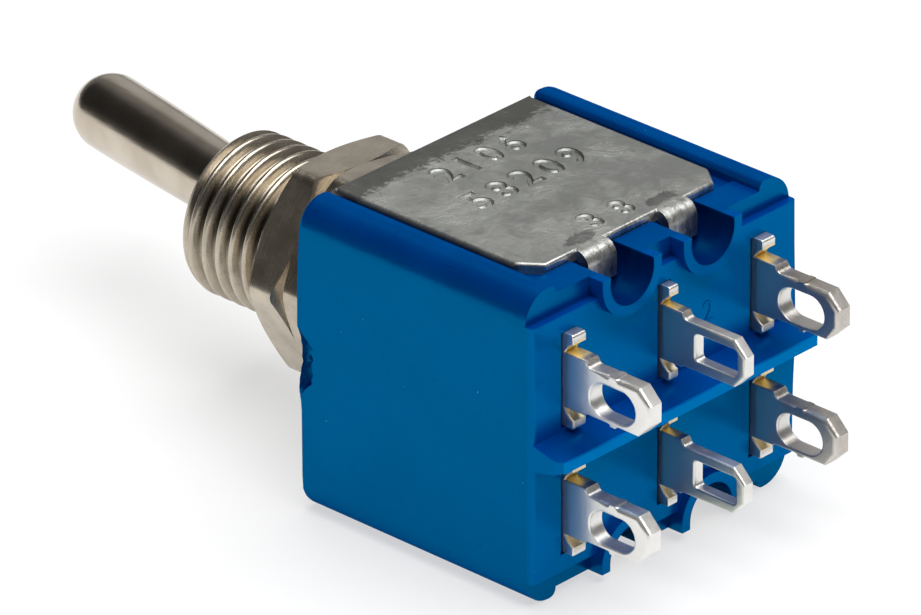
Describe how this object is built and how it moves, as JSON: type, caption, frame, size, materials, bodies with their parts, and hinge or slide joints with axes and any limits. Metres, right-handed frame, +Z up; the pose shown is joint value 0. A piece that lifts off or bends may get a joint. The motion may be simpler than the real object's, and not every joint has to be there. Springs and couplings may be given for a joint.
{
  "type": "toggle switch",
  "caption": "Miniature panel toggle switch with bat lever, threaded bushing, hex nuts, steel bracket, blue body and rows of solder lugs.",
  "frame": {"origin": "on the bushing's axis at the bracket's outer front face", "axes": "+Z up, out of the bracket's upper leg; -Y out of the panel along the bushing; +Y towards the lugs; +X to the side that the lever's throw moves it to"},
  "size_m": [0.0132, 0.0337, 0.0116],
  "materials": {
    "blue_moulding": "moulded satin blue, faint mould texture",
    "tinned_steel": "dull mottled tin with fine scratches",
    "nickel_plate": "warm satin nickel",
    "bright_nickel": "bright turned nickel",
    "zinc_steel": "plain zinc",
    "white_nylon": "natural nylon",
    "spring_wire": "drawn spring wire",
    "contact_brass": "rolled contact brass",
    "tinned_brass": "bright tinned brass, yellow at sheared notches"
  },
  "bodies": {
    "switch_body": {"case_body": "blue_moulding", "bracket": "tinned_steel", "bushing": "nickel_plate", "lock_washer": "zinc_steel", "locating_ring": "zinc_steel", "terminal_upper_left": "tinned_brass", "terminal_upper_common": "tinned_brass", "terminal_upper_right": "tinned_brass", "terminal_lower_left": "tinned_brass", "terminal_lower_common": "tinned_brass", "terminal_lower_right": "tinned_brass"},
    "lever": {"lever": "bright_nickel", "carrier": "white_nylon", "spring_upper": "spring_wire", "spring_lower": "spring_wire"},
    "plunger_upper": {"plunger_upper": "white_nylon"},
    "plunger_lower": {"plunger_lower": "white_nylon"},
    "rocker_upper": {"rocker_upper": "contact_brass"},
    "rocker_lower": {"rocker_lower": "contact_brass"},
    "nut_outer": {"nut_outer": "nickel_plate"},
    "nut_inner": {"nut_inner": "nickel_plate"}
  },
  "joints": [
    {"name": "lever_tilt", "type": "hinge", "parent": "switch_body", "child": "lever", "pos_m": [0, -0.0048, 0], "axis": [0, 0, 1], "range_deg": [0, 21.6]},
    {"name": "rocker_upper_tilt", "type": "hinge", "parent": "switch_body", "child": "rocker_upper", "pos_m": [0, 0.0077, 0.00239], "axis": [0, 0, 1], "range_deg": [-16, 0]},
    {"name": "rocker_lower_tilt", "type": "hinge", "parent": "switch_body", "child": "rocker_lower", "pos_m": [0, 0.0077, -0.00239], "axis": [0, 0, 1], "range_deg": [-16, 0]},
    {"name": "plunger_upper_slide", "type": "slide", "parent": "lever", "child": "plunger_upper", "axis": [-0.1874, -0.9823, 0], "range_m": [0, 0.0004], "stiffness_N_per_m": 200, "springref_m": -0.0005, "deforming": ["spring_upper"]},
    {"name": "plunger_lower_slide", "type": "slide", "parent": "lever", "child": "plunger_lower", "axis": [-0.1874, -0.9823, 0], "range_m": [0, 0.0004], "stiffness_N_per_m": 200, "springref_m": -0.0005, "deforming": ["spring_lower"]},
    {"name": "nut_outer_turn", "type": "hinge", "parent": "switch_body", "child": "nut_outer", "pos_m": [0, -0.004, 0], "axis": [0, -1, 0], "continuous": true},
    {"name": "nut_inner_turn", "type": "hinge", "parent": "switch_body", "child": "nut_inner", "pos_m": [0, -0.0024, 0], "axis": [0, -1, 0], "continuous": true}
  ],
  "couplings": [
    {"joint": "rocker_upper_tilt", "follows": "lever_tilt", "ratio": -0.7407},
    {"joint": "rocker_lower_tilt", "follows": "lever_tilt", "ratio": -0.7407}
  ]
}
